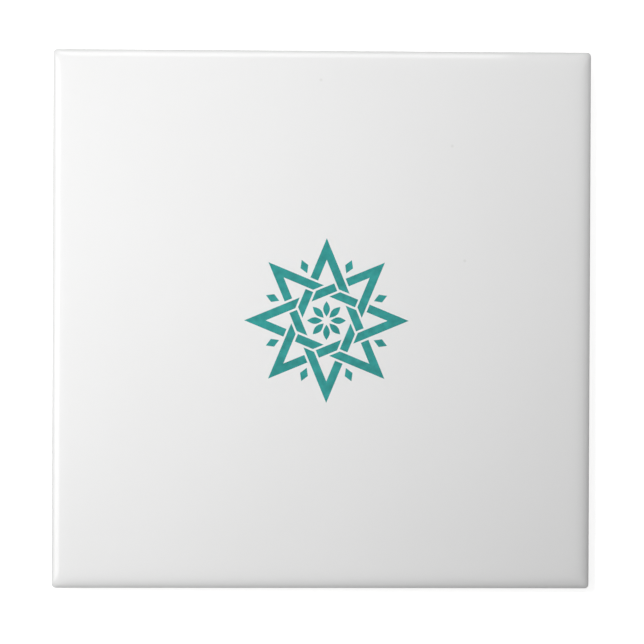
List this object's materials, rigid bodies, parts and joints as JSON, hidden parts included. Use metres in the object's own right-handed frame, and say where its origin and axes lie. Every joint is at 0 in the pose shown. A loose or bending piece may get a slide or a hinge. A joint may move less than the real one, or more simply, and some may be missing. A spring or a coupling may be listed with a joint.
{
  "type": "star pattern tile",
  "caption": "Square white glazed ceramic wall tile with a cushioned edge, a small teal star print in the middle of its face, and a keyed back that beds in adhesive.",
  "frame": {"origin": "centre of the back, on the plane that its ribs and border rest on", "axes": "+Z out of the glazed face; +Y towards the upper edge of the face as the print is read; +X towards its right edge"},
  "size_m": [0.108, 0.108, 0.006],
  "materials": {
    "glaze": "white gloss glaze, bare on the back",
    "print": "gloss print fired onto the glaze"
  },
  "bodies": {
    "root": {"tile": "glaze"}
  },
  "joints": []
}
